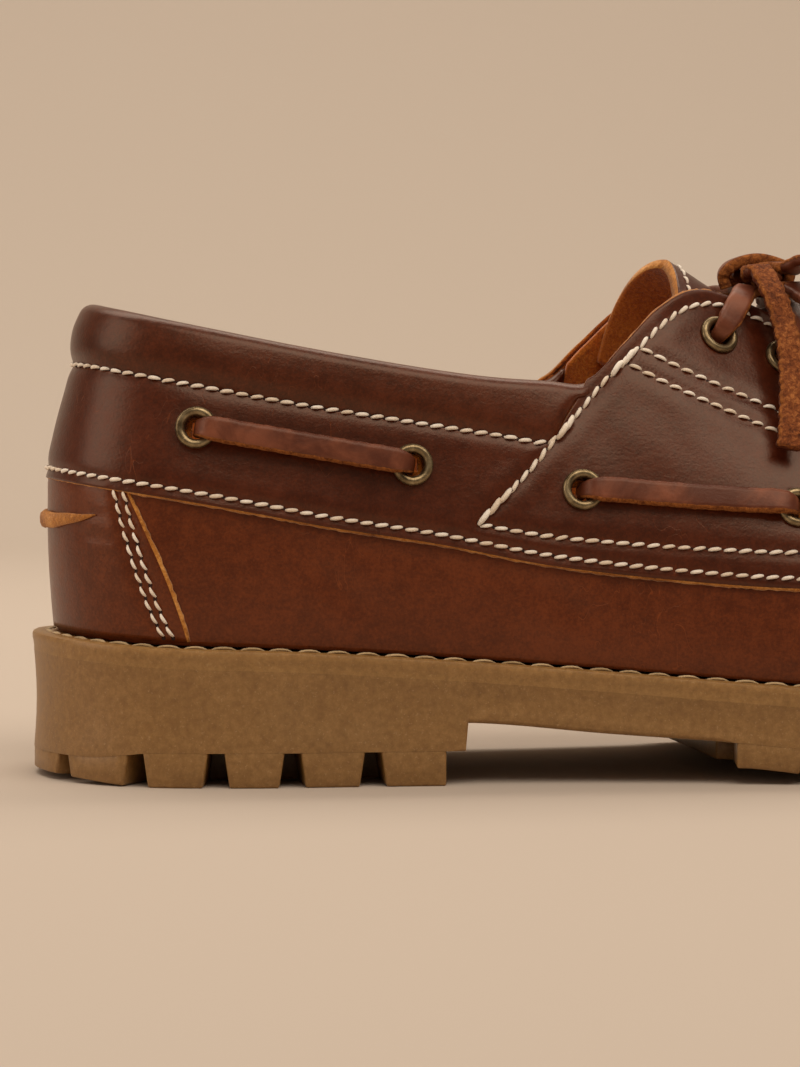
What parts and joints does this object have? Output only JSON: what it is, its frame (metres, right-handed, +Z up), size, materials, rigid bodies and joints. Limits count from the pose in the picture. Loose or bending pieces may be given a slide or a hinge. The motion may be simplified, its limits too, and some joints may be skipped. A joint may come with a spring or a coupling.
{
  "type": "boat shoe",
  "caption": "Low lug-soled leather boat shoe with moccasin toe, side lacing round a padded collar, and a leather bow over the tongue.",
  "frame": {"origin": "on the floor at the middle of the sole's box", "axes": "+X towards the toe, +Y to the shoe's left (medial) side, +Z up"},
  "size_m": [0.3004, 0.1078, 0.1049],
  "materials": {
    "upper_leather": "waxed pull-up leather with a soft gloss",
    "lace_leather": "rawhide lace, smooth outside and suede inside",
    "lining_suede": "unfinished tan suede",
    "gum_rubber": "speckled gum rubber, satin",
    "aged_brass": "antiqued brass",
    "thread": "thick waxed thread"
  },
  "bodies": {
    "root": {"eyelet_facing_1_lateral": "aged_brass", "eyelet_facing_1_medial": "aged_brass", "eyelet_facing_2_lateral": "aged_brass", "eyelet_facing_2_medial": "aged_brass", "eyelet_facing_3_lateral": "aged_brass", "eyelet_facing_3_medial": "aged_brass", "eyelet_side_1_lateral": "aged_brass", "eyelet_side_1_medial": "aged_brass", "eyelet_side_2_lateral": "aged_brass", "eyelet_side_2_medial": "aged_brass", "eyelet_side_3_lateral": "aged_brass", "eyelet_side_3_medial": "aged_brass", "eyelet_side_4_lateral": "aged_brass", "eyelet_side_4_medial": "aged_brass", "heel_counter": "upper_leather", "insole": "lining_suede", "lace_bar_back_lateral": "lace_leather", "lace_bar_back_medial": "lace_leather", "lace_bar_front_lateral": "lace_leather", "lace_bar_front_medial": "lace_leather", "lace_crossing": "lace_leather", "lace_end_lateral": "lace_leather", "lace_end_medial": "lace_leather", "lace_knot": "lace_leather", "lace_loop_lateral": "lace_leather", "lace_loop_medial": "lace_leather", "lace_top": "lace_leather", "midsole": "gum_rubber", "outsole": "gum_rubber", "tongue": "upper_leather", "upper": "upper_leather"}
  },
  "joints": []
}
